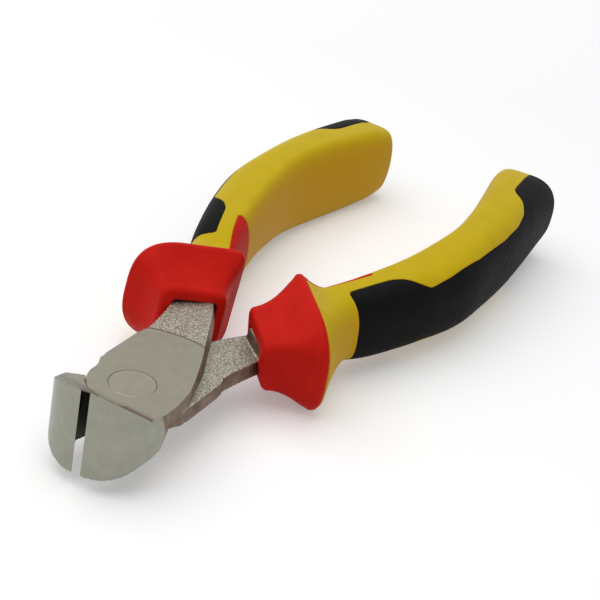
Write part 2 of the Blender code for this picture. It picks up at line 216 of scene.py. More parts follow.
def half_section(half_width, half_height, inner_power, outer_power, draft=0.0):
    """Upper half of a rounded square, from its outer side over the top to its drafted inner side."""
    cosine, sine = np.cos(ANGLES), np.abs(np.sin(ANGLES))
    power = np.where(cosine > 0, outer_power, inner_power)
    across, up = np.sign(cosine) * np.abs(cosine) ** (2 / power), sine ** (2 / power)
    drawn = draft * half_height * up ** 2 * np.clip(-across, 0, 1)
    return half_width * across + drawn, half_height * up

def stand(section, centre, yaw):
    """Stand a section at a place in plan, square to a direction."""
    side = heading(yaw + math.pi / 2)
    across, height = section
    return np.column_stack([centre[0] + across * side[0], centre[1] + across * side[1], height])

def guard_ring(distance, size, powers, inset=0.0):
    """Upper half of a section of the guard. Its outer side leads, and bulges back in the middle."""
    inner, outer, half_height, lead, bulge = size
    across, height = half_section((outer - inner) / 2 - inset, half_height - inset, *powers)
    row = stand((across, height), plan_place(GUARD_YAW, distance, (inner + outer) / 2), GUARD_YAW)
    share = across / across.max()
    forward = lead * share - bulge * np.clip(share, 0, 1) * (1 - (height / height.max()) ** 2)
    row[:, :2] -= forward[:, None] * heading(GUARD_YAW)
    return row

def curve_through(stations, steps):
    """A smooth Catmull-Rom curve through rows of numbers."""
    rows = np.array(stations)
    padded = np.vstack([2 * rows[0] - rows[1], rows, 2 * rows[-1] - rows[-2]])
    path = []
    for before, near, far, after in zip(padded, padded[1:], padded[2:], padded[3:]):
        for t in np.arange(steps) / steps:
            bend = 2 * before - 5 * near + 4 * far - after
            turn = 3 * near - before - 3 * far + after
            path.append(0.5 * (2 * near + (far - before) * t + bend * t ** 2 + turn * t ** 3))
    return np.array(path + [rows[-1]])

# %% Rings of the skin
def grip_rows():
    """Half rings along the grip, and round its end."""
    path = curve_through(GRIP_STATIONS, ROWS_PER_STATION)
    middle = np.column_stack([path[:, 0], (path[:, 1] + path[:, 2]) / 2])
    ahead = np.gradient(middle, axis=0)
    yaws = np.arctan2(ahead[:, 1], ahead[:, 0])
    widths = (path[:, 2] - path[:, 1]) / 2 * np.cos(yaws)
    rows = [stand(half_section(w, h, *GRIP_POWERS, GRIP_DRAFT), c, yaw)
            for c, yaw, w, h in zip(middle, yaws, widths, path[:, 3])]
    for turn in np.linspace(0, math.pi / 2, END_ROWS + 1)[1:]:
        inset = GRIP_END_ROUND * (1 - math.cos(turn))
        section = half_section(widths[-1] - inset, path[-1, 3] - inset, *GRIP_POWERS, GRIP_DRAFT)
        centre = middle[-1] + heading(yaws[-1]) * GRIP_END_ROUND * math.sin(turn)
        rows.append(stand(section, centre, yaws[-1]))
    return rows

def plan_middle(row):
    return np.array([*row[:, :2].mean(axis=0), 0.0])

def flare_rows(first):
    """Half rings that draw in from the guard's rim to the grip's first ring."""
    edge, start = (guard_ring(distance, GUARD_RIM_SIZE, RIM_POWERS, FLARE_SETBACK)
                   for distance in (GUARD_BACK, GUARD_BACK + RIM_BAND))
    powers = np.interp(ANGLES / math.pi, FLARE_SHARES, FLARE_POWERS)[:, None]
    start_middle, end_middle = plan_middle(start), plan_middle(first)
    rows = [edge]
    for share in np.linspace(0, 1, FLARE_ROWS + 1)[:-1] ** FLARE_CROWDING:
        keep = (1 - share) ** powers
        middle = start_middle * (1 - share) + end_middle * share
        rows.append(middle + keep * (start - start_middle) + (1 - keep) * (first - end_middle))
    return rows

def evenly(row, steps):
    """Points at even steps along a row."""
    length = np.concatenate([[0], np.cumsum(np.linalg.norm(np.diff(row, axis=0), axis=1))])
    wanted = np.linspace(0, length[-1], steps + 1)
    return np.column_stack([np.interp(wanted, length, row[:, axis]) for axis in range(3)])

grip_part = grip_rows()
skin_grid = np.array([evenly(row, STEPS_ROUND) for row in flare_rows(grip_part[0]) + grip_part])
row_middles = np.array([plan_middle(row) for row in skin_grid])
DISTANCE = np.concatenate([[0], np.cumsum(np.linalg.norm(np.diff(row_middles, axis=0), axis=1))])
SHARE = np.linspace(0, 1, STEPS_ROUND + 1)
HALF_ROUND = np.linalg.norm(np.diff(skin_grid, axis=1), axis=2).sum(axis=1)
END_START = DISTANCE[-END_ROWS - 1]
normal_grid = np.cross(np.gradient(skin_grid, axis=1), np.gradient(skin_grid, DISTANCE, axis=0))
normal_grid[:, [0, -1], 2] = 0
normal_grid /= np.linalg.norm(normal_grid, axis=2, keepdims=True)
print("skin of", len(skin_grid), "rings,", round(DISTANCE[-1], 1), "mm long")

# %% [markdown]
# ## Points on the skin
#
# Each colour covers a stretch of that skin. Two numbers give a place on it: the distance behind the guard,
# and the share of the way round from the outer side over the top to the inner side. A third number sinks a
# point below the skin, for edges, small rounds and thickness.

# %% Points on the skin
def skin(distance, share, sink=0.0):
    """Points of the skin, or below it."""
    distance, share, sink = np.broadcast_arrays(distance, share, sink)
    row = np.interp(distance, DISTANCE, np.arange(len(DISTANCE)))
    column = share * STEPS_ROUND
    i = np.minimum(row.astype(int), len(DISTANCE) - 2)
    j = np.minimum(column.astype(int), STEPS_ROUND - 1)
    a, b = (row - i)[..., None], (column - j)[..., None]

    def between(grid):
        near = grid[i, j] * (1 - b) + grid[i, j + 1] * b
        far = grid[i + 1, j] * (1 - b) + grid[i + 1, j + 1] * b
        return near * (1 - a) + far * a

    return between(skin_grid) - between(normal_grid) * sink[..., None]

def half_round(distance):
    return np.interp(distance, DISTANCE, HALF_ROUND)

# %% Lines where the colours meet
INLAY_LINE = [(42.35, 12.9), (51.4, 16.4), (53.4, 18.0), (54.6, 20.1), (56.4, 21.8), (62.0, 23.1),
              (71.0, 24.5), (82.0, 25.1), (89.0, 25.0), (93.5, 24.3), (96.5, 22.7), (98.6, 20.2),
              (100.6, 19.3), (106.0, 18.8), (124.0, 17.0)]
INLAY_CORNER, INLAY_YAW = 1.4, math.radians(24)
TONGUE_LINE = [(30.0, 4.6), (38.0, 8.15), (44.5, 10.85), (52.0, 13.9), (60.0, 16.9)]
TONGUE_END_X, TONGUE_CORNER = 51.0, 0.7
TONGUE_SEARCH = np.arange(12, 30, 0.1)
LINE_SOFTNESS, LINE_STEP, LINE_RUN, LINE_TRIM = 0.45, 0.05, 8.0, 30
SHEAR_FADE = 13.0

def soft_line(points):
    """A line y(x) in plan with its corners softened."""
    xs, ys = np.array(points).T
    fine = np.arange(xs[0] - LINE_RUN, xs[-1] + LINE_RUN, LINE_STEP)
    slope = [(ys[1] - ys[0]) / (xs[1] - xs[0]), (ys[-1] - ys[-2]) / (xs[-1] - xs[-2])]
    straight = np.interp(fine, xs, ys)
    straight += np.minimum(fine - xs[0], 0) * slope[0] + np.maximum(fine - xs[-1], 0) * slope[1]
    reach = np.arange(-3 * LINE_SOFTNESS, 3 * LINE_SOFTNESS + LINE_STEP, LINE_STEP)
    weight = np.exp(-0.5 * (reach / LINE_SOFTNESS) ** 2)
    half = len(reach) // 2
    soft = np.convolve(np.pad(straight, half, "edge"), weight / weight.sum(), "same")[half:half + len(fine)]
    return fine[LINE_TRIM:-LINE_TRIM], soft[LINE_TRIM:-LINE_TRIM]

inlay_line, tongue_line = soft_line(INLAY_LINE), soft_line(TONGUE_LINE)
front_side = (skin_grid[:, :, :2] - np.array(INLAY_LINE[0])) @ heading(INLAY_YAW)
FRONT = np.array([np.interp(0, front_side[:, j], DISTANCE) for j in range(STEPS_ROUND + 1)])
corner_share = np.interp(0, -(skin(FRONT, SHARE)[:, 1] - INLAY_LINE[0][1]), SHARE)
INLAY_FRONT = float(np.interp(corner_share, SHARE, FRONT))

def smooth_share(value):
    value = np.clip(value, 0, 1)
    return value * value * (3 - 2 * value)

def slanted(distance, share):
    """A row's true distances: near the front of the inlay the rows lie parallel to the guard."""
    lead = smooth_share(distance / INLAY_FRONT)
    fade = 1 - smooth_share((distance - INLAY_FRONT) / SHEAR_FADE)
    return distance + (np.interp(share, SHARE, FRONT) - INLAY_FRONT) * lead * fade

def crossing(distance, line):
    """Share of the way round at which a row crosses a line."""
    places = skin(slanted(distance, SHARE), SHARE)
    return float(np.interp(0, np.interp(places[:, 0], *line) - places[:, 1], SHARE))

edge_x = [skin(distance, crossing(distance, tongue_line))[0] for distance in TONGUE_SEARCH]
TONGUE_END = float(np.interp(TONGUE_END_X, edge_x, TONGUE_SEARCH))

def corner(room, radius):
    """How far a round corner draws an edge back, at a distance from the corner's end."""
    short = np.clip(radius - room, 0, radius)
    return radius - math.sqrt(radius ** 2 - short ** 2)

def inlay_share(distance):
    """Where the inlay's edge lies on a row."""
    distance = max(distance, INLAY_FRONT)
    back_by = corner(distance - INLAY_FRONT, INLAY_CORNER) / half_round(distance)
    return crossing(distance, inlay_line) - back_by

def tongue_share(distance):
    """Where the tongue's edge lies on a row."""
    distance = min(distance, TONGUE_END)
    back_by = corner(TONGUE_END - distance, TONGUE_CORNER) / half_round(distance)
    return crossing(distance, tongue_line) + back_by

print("inlay starts at", round(INLAY_FRONT, 2), "mm, tongue ends at", round(TONGUE_END, 2), "mm")

# %% [markdown]
# ## Wrapping a grid
#
# A closed piece of the handle is a stack of loops. By hand one would add a grid and roll it up: its rows
# become the loops, its long edges are merged, and its ends are filled. The function below does that, with the
# grid's points set from our rows.

# %% Wrap a grid round rows of points
MERGE = 0.002

def deselect():
    if bpy.context.object and bpy.context.object.mode != "OBJECT":
        bpy.ops.object.mode_set(mode="OBJECT")
    bpy.ops.object.select_all(action="DESELECT")

def pick(piece, *others):
    """Select a piece and others alone, with the piece active."""
    deselect()
    for one in (piece, *others):
        one.select_set(True)
    bpy.context.view_layer.objects.active = piece

def set_points(piece, points):
    """Move a mesh's points to places in metres."""
    piece.data.vertices.foreach_set("co", points.ravel())
    piece.data.update()

def closed_loop(half_row):
    """A full loop from its upper half, whose two ends lie on the middle plane."""
    lower = half_row[-2:0:-1] * np.array([1, 1, -1])
    return np.vstack([half_row, lower, half_row[:1]])

def wrapped(name, half_rows):
    """A closed skin through half rows, which are mirrored in the middle plane."""
    return rolled(name, [closed_loop(row) for row in half_rows])

def rolled(name, loops):
    """Roll a grid into a closed skin through loops given in millimetres about the middle plane."""
    rows = np.array(loops) * MM
    rows[..., 2] += MIDDLE_Z
    deselect()
    bpy.ops.mesh.primitive_grid_add(x_subdivisions=rows.shape[1] - 1, y_subdivisions=rows.shape[0] - 1)
    piece = bpy.context.object
    piece.name = name
    set_points(piece, rows)
    bpy.ops.object.mode_set(mode="EDIT")
    bpy.ops.mesh.select_all(action="SELECT")
    bpy.ops.mesh.remove_doubles(threshold=MERGE * MM)
    bpy.ops.mesh.fill_holes(sides=0)
    bpy.ops.mesh.select_all(action="SELECT")
    bpy.ops.mesh.normals_make_consistent(inside=False)
    bpy.ops.object.mode_set(mode="OBJECT")
    print(name, len(piece.data.vertices), "points")
    return piece

# %% [markdown]
# ## Yellow grip and black inlay
#
# The yellow grip is one moulding with two beds in its skin: one for the black inlay on the outer side, one
# for the red tongue on the inner side. Where a bed starts, the skin turns down with a small round, so the
# finished handle shows a fine line between two colours, as real moulded handles do.

# %% Edges and beds
EDGE_ROUND, SEAM, BED = 0.16, 0.015, 1.3
EDGE_TURNS = np.radians([0, 30, 60, 90])
EDGE_BACK, EDGE_SINK = EDGE_ROUND * (1 - np.cos(EDGE_TURNS)), EDGE_ROUND * (1 - np.sin(EDGE_TURNS))
ROW_STEP, NECK_STEP, CORNER_ROWS, EDGE_ROWS = 0.6, 0.3, 9, len(EDGE_TURNS)
BED_COLUMNS, TOP_COLUMNS, TONGUE_COLUMNS, SKIN_COLUMNS = 26, 34, 22, 34
RIM_TUCK = [(0.0, 0.22), (0.05, 0.09), (0.14, 0.02), (0.3, 0.0)]
SEAM_HEIGHT, SEAM_HALF, SEAM_FADE, CROWDING = 0.14, 0.28, 1.0, 1.6

def distances(start, stop, step=ROW_STEP):
    return np.linspace(start, stop, max(2, int(math.ceil((stop - start) / step)) + 1))

def corner_distances(start, radius):
    """Rows that crowd together where a round corner turns fastest."""
    return start + radius * (1 - np.cos(np.linspace(0, math.pi / 2, CORNER_ROWS)))

def chord(point, columns):
    """Points straight down from a point to the middle plane, lowest first."""
    heights = np.linspace(0, 1, columns)[:, None]
    return np.column_stack([np.repeat(point[None, :2], columns, axis=0), heights * point[2]])

def mould_seam(distance, share):
    """Height of the thin ridge that the mould's halves leave on the neck's outer side."""
    across = np.clip(1 - (share * half_round(distance) / SEAM_HALF) ** 2, 0, 1)
    fade = smooth_share((INLAY_FRONT - distance) / SEAM_FADE) * smooth_share(distance / SEAM_FADE)
    return SEAM_HEIGHT * across * fade

def grip_half_row(distance, inlay_sink, inlay_edge, tongue_sink, tongue_edge, sink=0.0, solid_end=False):
    """Half a loop of the grip, from the inlay's bed over the top to the tongue's bed."""
    first, last, length = inlay_share(distance), tongue_share(distance), half_round(distance)
    outer = first * np.linspace(0, 1, BED_COLUMNS) ** CROWDING
    near = first + EDGE_BACK / length
    far = last - EDGE_BACK[::-1] / length
    top = np.linspace(near[-1], far[0], TOP_COLUMNS + 2)[1:-1]
    inner = np.linspace(last, 1, TONGUE_COLUMNS)
    shares = np.concatenate([outer, near, top, far, inner])
    outer_sinks = inlay_sink - mould_seam(distance, outer)
    sinks = np.concatenate([outer_sinks, EDGE_SINK * inlay_edge, np.zeros(TOP_COLUMNS),
                            EDGE_SINK[::-1] * tongue_edge, np.full(TONGUE_COLUMNS, tongue_sink)])
    row = skin(slanted(distance, shares), shares, sinks + sink)
    if solid_end:
        row[:BED_COLUMNS] = chord(row[BED_COLUMNS - 1], BED_COLUMNS)
    return row

# %% Rows of the grip
def grip_half_rows():
    """The tuck at the rim, the neck, the two beds, and the end."""
    rows = [grip_half_row(d, 0, 0, BED, 1, sink) for d, sink in RIM_TUCK]
    neck = distances(RIM_TUCK[-1][0], INLAY_FRONT - EDGE_ROUND, NECK_STEP)[1:]
    rows += [grip_half_row(d, 0, 0, BED, 1) for d in neck]
    for away, sink in zip(EDGE_BACK[::-1][1:], EDGE_SINK[::-1][1:]):
        rows.append(grip_half_row(INLAY_FRONT - away, sink, sink / EDGE_ROUND, BED, 1))
    beds = [corner_distances(INLAY_FRONT, INLAY_CORNER),
            distances(INLAY_FRONT + INLAY_CORNER, TONGUE_END - TONGUE_CORNER)[1:],
            2 * TONGUE_END - corner_distances(TONGUE_END, TONGUE_CORNER)[::-1][1:]]
    rows += [grip_half_row(d, BED, 1, BED, 1) for d in np.concatenate(beds)]
    for away, sink in zip(EDGE_BACK, EDGE_SINK):
        rows.append(grip_half_row(TONGUE_END + away, BED, 1, sink, sink / EDGE_ROUND))
    rows += [grip_half_row(d, BED, 1, 0, 0) for d in distances(TONGUE_END + EDGE_ROUND, END_START)[1:]]
    rows += [grip_half_row(d, BED, 1, 0, 0, solid_end=True) for d in DISTANCE[-END_ROWS - 1:]]
    return rows

left_grip = wrapped("left_grip_moulding", grip_half_rows())

# %% Rows of the inlay
def inlay_half_row(distance, sink=0.0, solid_end=False):
    """Half a loop of the inlay: along the skin, down its edge and back along its underside."""
    length = half_round(distance)
    edge = inlay_share(distance) - SEAM / length
    near = edge - EDGE_BACK[::-1] / length
    outer = np.concatenate([np.linspace(0, near[0], BED_COLUMNS + 1)[:-1], near])
    outer_sink = np.concatenate([np.zeros(BED_COLUMNS), EDGE_SINK[::-1]])
    under = np.linspace(edge, 0, BED_COLUMNS)
    shares = np.concatenate([outer, under])
    sinks = np.concatenate([np.maximum(outer_sink, sink), np.full(BED_COLUMNS, BED - SEAM)])
    row = skin(slanted(distance, shares), shares, sinks)
    if solid_end:
        row[-BED_COLUMNS:] = chord(row[-BED_COLUMNS], BED_COLUMNS)[::-1]
    return row

def inlay_half_rows():
    front = INLAY_FRONT + SEAM
    rows = [inlay_half_row(front, BED - SEAM)]
    for away, sink in zip(EDGE_BACK, EDGE_SINK):
        rows.append(inlay_half_row(front + away, sink))
    rows += [inlay_half_row(d) for d in corner_distances(front, INLAY_CORNER)[EDGE_ROWS:]]
    rows += [inlay_half_row(d) for d in distances(front + INLAY_CORNER, END_START)[1:]]
    rows += [inlay_half_row(d, solid_end=True) for d in DISTANCE[-END_ROWS - 1:]]
    return rows

left_inlay = wrapped("left_soft_inlay", inlay_half_rows())

# %% [markdown]
# ## Red guard with its tongue
#
# The guard is a trumpet with soft edges: its loops grow from the front lip to the rim, slowly at first. The
# tongue is a stretch of the skin with a thickness. A Boolean modifier cuts the shank's pocket, and the tongue
# is joined to the guard. A voxel remesh makes one body of the two, and a little smoothing rounds every edge,
# as a moulding flows.

# %% Modifiers as applied tools
def apply_modifier(piece, kind, **settings):
    """Add a modifier to an object, set it and apply it."""
    pick(piece)
    bpy.ops.object.modifier_add(type=kind)
    modifier = piece.modifiers[-1]
    for name, value in settings.items():
        setattr(modifier, name, value)
    bpy.ops.object.modifier_apply(modifier=modifier.name)

def combine(piece, other, operation):
    """Join or cut a piece with another, which is used up."""
    apply_modifier(piece, "BOOLEAN", object=other, operation=operation, solver="EXACT")
    bpy.data.objects.remove(other)
    print(operation.lower(), "leaves", piece.name, "with", len(piece.data.polygons), "faces")

# %% Trumpet of the guard
LIP_ROUND, RIM_ROUND, FLARE_CURVE, RIM_CREST = 0.9, 0.32, 2.2, 10.0
TRUMPET_ROWS, ROUND_ROWS, GUARD_COLUMNS = 28, 8, 72

def trumpet_ring(share, inset=0.0):
    """Upper half of the guard's section at a share of the way from its front to its rim."""
    size = np.array(GUARD_FRONT_SIZE) + (np.array(GUARD_RIM_SIZE) - GUARD_FRONT_SIZE) * share ** FLARE_CURVE
    powers = np.array(FRONT_POWERS) + (np.array(RIM_POWERS) - FRONT_POWERS) * share
    distance = GUARD_FRONT + (GUARD_RIM - GUARD_FRONT) * share
    return guard_ring(distance, size, powers, inset)

def trumpet_half_rows():
    rows = []
    for turn in np.linspace(0, math.pi / 2, ROUND_ROWS + 1)[:-1]:
        away, inset = LIP_ROUND * (1 - math.cos(turn)), LIP_ROUND * (1 - math.sin(turn))
        rows.append(trumpet_ring(away / (GUARD_RIM - GUARD_FRONT), inset))
    for share in np.linspace(LIP_ROUND / (GUARD_RIM - GUARD_FRONT), 1, TRUMPET_ROWS + 1):
        rows.append(trumpet_ring(share, RIM_ROUND * share ** RIM_CREST))
    for turn in np.linspace(0, math.pi, 2 * ROUND_ROWS + 1)[1:]:
        away, inset = (GUARD_BACK - GUARD_RIM) * (1 - math.cos(turn)) / 2, RIM_ROUND * (1 - math.sin(turn))
        rows.append(guard_ring(GUARD_RIM + away, GUARD_RIM_SIZE, RIM_POWERS, inset))
    rows = [evenly(row, GUARD_COLUMNS) for row in rows]
    caps = [np.repeat([plan_middle(row)], GUARD_COLUMNS + 1, axis=0) for row in (rows[0], rows[-1])]
    return [caps[0]] + rows + [caps[1]]

left_guard = wrapped("left_guard_moulding", trumpet_half_rows())

# %% Tongue behind the guard
TONGUE_ROOT = 0.6

def tongue_half_row(distance, forward=0.0):
    """Half a loop of the tongue, from the inner side to its edge and back below the skin."""
    length = half_round(distance)
    edge = tongue_share(distance) + SEAM / length
    outer = np.linspace(1, edge, SKIN_COLUMNS)
    shares = np.concatenate([outer, outer[::-1]])
    sinks = np.repeat([0.0, BED - SEAM], len(outer))
    row = skin(slanted(distance, shares), shares, sinks)
    row[:, :2] -= heading(GUARD_YAW) * forward
    return row

def tongue_half_rows():
    rows = [tongue_half_row(0.0, forward=TONGUE_ROOT)]
    rows += [tongue_half_row(d) for d in distances(0.0, TONGUE_END - SEAM - TONGUE_CORNER, NECK_STEP)]
    rows += [tongue_half_row(2 * (TONGUE_END - SEAM) - d)
             for d in corner_distances(TONGUE_END - SEAM, TONGUE_CORNER)[::-1][1:]]
    return rows

tongue = wrapped("tongue", tongue_half_rows())

# %% Pocket for the shank
SHANK_YAW = math.radians(41.5)
POCKET_FRONT, POCKET_BACK, POCKET_SEGMENTS = 17.0, 27.2, 3
POCKET_SIDES, POCKET_HALF, POCKET_LIFT, POCKET_ROUND = (-16.25, -8.55), 2.45, 0.5, 0.8

def along_shank(distance, across, height=0.0):
    """A place from its distances along the shank's line and across it, in metres."""
    return Vector((*plan_place(SHANK_YAW, distance, across), height)) * MM + MIDDLE

deselect()
bpy.ops.mesh.primitive_cube_add(
    size=1, location=along_shank((POCKET_FRONT + POCKET_BACK) / 2, sum(POCKET_SIDES) / 2, POCKET_LIFT),
    rotation=(0, 0, SHANK_YAW),
    scale=Vector((POCKET_BACK - POCKET_FRONT, POCKET_SIDES[1] - POCKET_SIDES[0], 2 * POCKET_HALF)) * MM)
pocket = bpy.context.object
bpy.ops.object.transform_apply(location=True, rotation=True, scale=True)
bpy.ops.object.mode_set(mode="EDIT")
bpy.ops.mesh.select_all(action="SELECT")
bpy.ops.mesh.bevel(offset=POCKET_ROUND * MM, segments=POCKET_SEGMENTS, affect="EDGES")
bpy.ops.object.mode_set(mode="OBJECT")
combine(left_guard, pocket, "DIFFERENCE")

# %% Soften the moulding
GUARD_VOXEL, GUARD_SMOOTHING, SMOOTH_FACTOR = 0.18, 5, 0.5

pick(left_guard, tongue)
bpy.ops.object.join()
apply_modifier(left_guard, "REMESH", mode="VOXEL", voxel_size=GUARD_VOXEL * MM)
apply_modifier(left_guard, "SMOOTH", factor=SMOOTH_FACTOR, iterations=GUARD_SMOOTHING)
print(left_guard.name, len(left_guard.data.polygons), "faces")

# %% [markdown]
# ## Lap and shank of the upper lever
#
# Each lever is one drop forging. Its lap is a flat plate: half of a disc round the pivot, a straight
# shoulder, and a belly that runs out to the shank. A facing cutter turned about the pivot leaves a bright
# round face a little below the rough forged skin. We roll up outlines of the plate, let the belly lean
# outwards as the forging's draft does, and cut the face with a cylinder.

# %% Outline of the lap
LAP_LOW, GROUND_TOP, FORGED_TOP, FACING_RADIUS = 0.03, 2.55, 2.7, 15.8
DISC_RADIUS, DISC_ARC, DISC_STEPS = 6.6, np.radians([235, 86]), 60
SHOULDER_EDGE = [(1.3, 6.8), (2.4, 7.35), (3.8, 7.5), (12.6, 7.5), (14.7, 7.1), (19.3, 7.8), (24.1, 8.9),
                 (26.4, 9.5)]
BELLY_EDGE = [(29.9, 4.8), (28.3, 3.9), (24.1, 1.6), (17.6, -1.5), (10.7, -4.7), (5.0, -7.0), (3.0, -7.45),
              (0.4, -7.8), (-2.4, -7.9), (-4.0, -7.7), (-5.2, -7.2), (-5.8, -6.5)]
EDGE_STEPS, DRAFT, DRAFT_START, DRAFT_LENGTH = 6, 0.6, 6.0, 8.0
LAP_HEIGHTS = np.linspace(LAP_LOW, FORGED_TOP, 4)

arc = np.linspace(*DISC_ARC, DISC_STEPS)
disc_edge = DISC_RADIUS * np.column_stack([np.cos(arc), np.sin(arc)])
shoulder, belly = curve_through(SHOULDER_EDGE, EDGE_STEPS), curve_through(BELLY_EDGE, EDGE_STEPS)

def closed(points):
    return np.vstack([points, points[:1]])

def lap_loop(height):
    """Outline of the lap at a height, with the belly's draft."""
    along = np.gradient(belly, axis=0)
    outwards = np.column_stack([-along[:, 1], along[:, 0]]) / np.linalg.norm(along, axis=1)[:, None]
    fade = smooth_share((belly[:, 0] - DRAFT_START) / DRAFT_LENGTH)
    lean = DRAFT * (FORGED_TOP - height) / FORGED_TOP * fade
    outline = np.vstack([disc_edge, shoulder, belly + outwards * lean[:, None]])
    return closed(np.column_stack([outline, np.full(len(outline), height)]))

# %% Lap with its ground face
TALL, ROUND_VERTICES = 30.0, 160

def round_cutter(radius, low, high):
    """A cylinder about the pivot, in millimetres about the middle plane."""
    deselect()
    bpy.ops.mesh.primitive_cylinder_add(vertices=ROUND_VERTICES, radius=radius * MM, depth=(high - low) * MM,
                                        location=MIDDLE + Vector((0, 0, (low + high) / 2 * MM)))
    return bpy.context.object

upper_lever = rolled("upper_lever_forging", [lap_loop(height) for height in LAP_HEIGHTS])
combine(upper_lever, round_cutter(FACING_RADIUS, GROUND_TOP, TALL), "DIFFERENCE")

# %% [markdown]
# ## Jaw
#
# The jaw is a curved wall, taller than the plate, and its inner side falls back at about 25 degrees behind
# the cutting edge. We stack its outlines from bottom to top, and let the side roll in towards the plate's
# corner. Sloping cutters then take the wall down to the plate above and below, and a cylinder makes room for
# the other lever's disc.

# %% Walls of the jaw
JAW_CENTRE_X, JAW_REACH, JAW_HALF_WIDTH, JAW_POWER, JAW_HALF_HEIGHT = -4.3, 7.65, 8.5, 2.3, 6.9
EDGE_HALF_GAP, JAW_STEPS, JAW_LOOPS = 0.66, 70, 47
JAW_BACK_X, JAW_BACK_RISE, JAW_BACK_END = -4.3, 0.55, -2.9
JAW_BACK_Y, JAW_ROOT = -8.45, (-2.8, -6.0)
JAW_HOLLOW = [(-4.9, -3.6), (-6.6, -1.6), (-6.9, -0.9), (-7.7, -2.03), (-8.5, -2.84), (-10.0, -1.95)]
SIDE_ROLL, ROLL_START, ROLL_HEIGHT, ROLL_POWER = 1.0, -0.3, 2.85, 2.2
ROLL_FROM_X, ROLL_LENGTH = -8.3, 3.0

def jaw_loop(height):
    """Outline of the jaw at a height: its outer wall, its back and its hollow inner side."""
    start = math.asin((EDGE_HALF_GAP / JAW_HALF_WIDTH) ** (JAW_POWER / 2))
    turn = np.linspace(start, math.pi / 2, JAW_STEPS)
    wall = np.column_stack([JAW_CENTRE_X - JAW_REACH * np.cos(turn).clip(0) ** (2 / JAW_POWER),
                            -JAW_HALF_WIDTH * np.sin(turn) ** (2 / JAW_POWER)])
    back_x = np.clip(JAW_BACK_X + JAW_BACK_RISE * (height + GROUND_TOP), JAW_BACK_X, JAW_BACK_END)
    outside = np.vstack([wall, (back_x, JAW_BACK_Y)])
    roll = SIDE_ROLL * np.clip((height - ROLL_START) / ROLL_HEIGHT, 0, 1) ** ROLL_POWER
    outside[:, 1] += roll * smooth_share((outside[:, 0] - ROLL_FROM_X) / ROLL_LENGTH)
    outline = np.vstack([outside, JAW_ROOT, JAW_HOLLOW])
    return closed(np.column_stack([outline, np.full(len(outline), height)]))

jaw_heights = np.linspace(-JAW_HALF_HEIGHT, JAW_HALF_HEIGHT, JAW_LOOPS)
jaw = rolled("jaw", [jaw_loop(height) for height in jaw_heights])

# %% Slopes down to the plate
SLOPE_ABOVE = [(-4.6, 2.55), (-5.3, 2.6), (-6.0, 2.75), (-6.8, 3.18), (-12.6, 7.6)]
SLOPE_BELOW = [(-4.0, -2.55), (-5.4, -2.85), (-6.5, -3.2), (-8.0, -3.85), (-12.6, -7.4)]
SLOPE_HALF_LENGTH, DISC_ROOM = 15.0, 0.05

def slope_loop(slope, across):
    """Section of the cutter above or below the jaw."""
    far = math.copysign(TALL, slope[0][1])
    outline = slope + [(slope[-1][0], far), (-slope[-1][0], far), (-slope[-1][0], slope[0][1])]
    return closed(np.array([(x, across, z) for x, z in outline]))

for slope in (SLOPE_ABOVE, SLOPE_BELOW):
    loops = [slope_loop(slope, across) for across in (-SLOPE_HALF_LENGTH, SLOPE_HALF_LENGTH)]
    combine(jaw, rolled("slope", loops), "DIFFERENCE")
combine(jaw, round_cutter(DISC_RADIUS + DISC_ROOM, -TALL, LAP_LOW), "DIFFERENCE")
combine(upper_lever, jaw, "UNION")

# %% [markdown]
# ## From the shank to the tang
#
# At the guard's mouth the shank thickens towards the middle plane, so that the tang can run along the middle
# of the handle. The stations below give that swelling along the shank's line.

# %% Swelling of the shank
SWELLING = [(20.6, -15.0, -8.0, 0.3), (22.2, -15.4, -8.65, 0.1), (22.5, -15.5, -8.75, -0.2),
            (22.7, -15.55, -8.85, -1.1), (22.95, -15.6, -8.95, -1.6), (24.2, -15.85, -9.5, -1.95),
            (25.5, -16.0, -10.0, -2.15), (30.0, -15.5, -11.5, -2.3)]
SWELLING_TOP = 2.5

def swelling_loop(distance, inner, outer, low):
    """Section of the shank across its line."""
    corners = [(outer, SWELLING_TOP), (inner, SWELLING_TOP), (inner, low), (outer, low)]
    return closed(np.array([[*plan_place(SHANK_YAW, distance, u), z] for u, z in corners]))

swelling = rolled("swelling", [swelling_loop(*row) for row in SWELLING])
combine(upper_lever, swelling, "UNION")

# %% [markdown]
# ## Forged skin
#
# A forging has no sharp edges, and outside the ground faces its skin is pebbled by scale and shot. A voxel
# remesh with a little smoothing rounds the edges. Then a Displace modifier raises pebbles of about half a
# millimetre, but only on the points of the rough skin, which a vertex group marks.

# %% Soft edges
LEVER_VOXEL, LEVER_SMOOTHING = 0.15, 3
apply_modifier(upper_lever, "REMESH", mode="VOXEL", voxel_size=LEVER_VOXEL * MM)
apply_modifier(upper_lever, "SMOOTH", factor=SMOOTH_FACTOR, iterations=LEVER_SMOOTHING)
print(upper_lever.name, len(upper_lever.data.polygons), "faces")

# %% Pebbles on the rough skin
PEBBLE_SIZE, PEBBLE_HEIGHT, WALL_SHARE = 0.42, 0.11, 0.5
FACE_SLOPE, JAW_ROOT_X, FACE_MARGIN = 0.6, -3.0, 0.1

def measured(rows, field):
    """An array of a mesh's points or normals."""
    values = np.empty(3 * len(rows))
    rows.foreach_get(field, values)
    return values.reshape(-1, 3)

